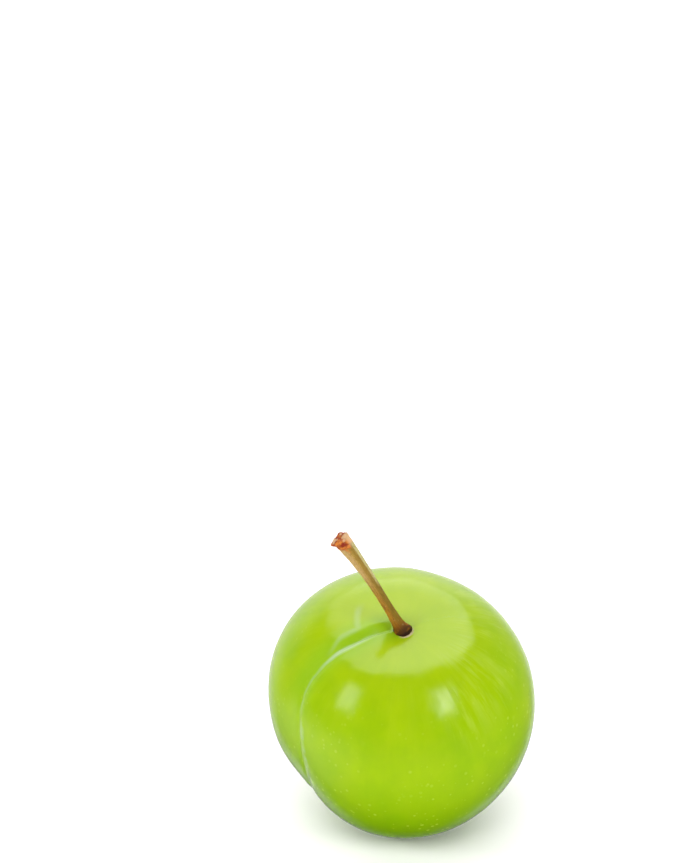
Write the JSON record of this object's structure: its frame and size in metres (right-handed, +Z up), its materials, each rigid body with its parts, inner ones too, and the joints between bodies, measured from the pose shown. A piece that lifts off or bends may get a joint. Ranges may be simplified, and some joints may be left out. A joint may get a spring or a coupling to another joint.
{
  "type": "green plum",
  "caption": "Round green plum with a stem cavity, a shallow suture and a bent woody stem, resting on a small flat spot.",
  "frame": {"origin": "on the surface the plum rests on, under the middle of its bounding box", "axes": "+Z up; the stem end leans towards -Y, the stem towards -X, and the suture runs down the side that faces -X and -Y"},
  "size_m": [0.0376, 0.0384, 0.051],
  "materials": {
    "skin": "satin",
    "bark": "matte"
  },
  "bodies": {
    "root": {"fruit": "skin", "stem": "bark"}
  },
  "joints": []
}
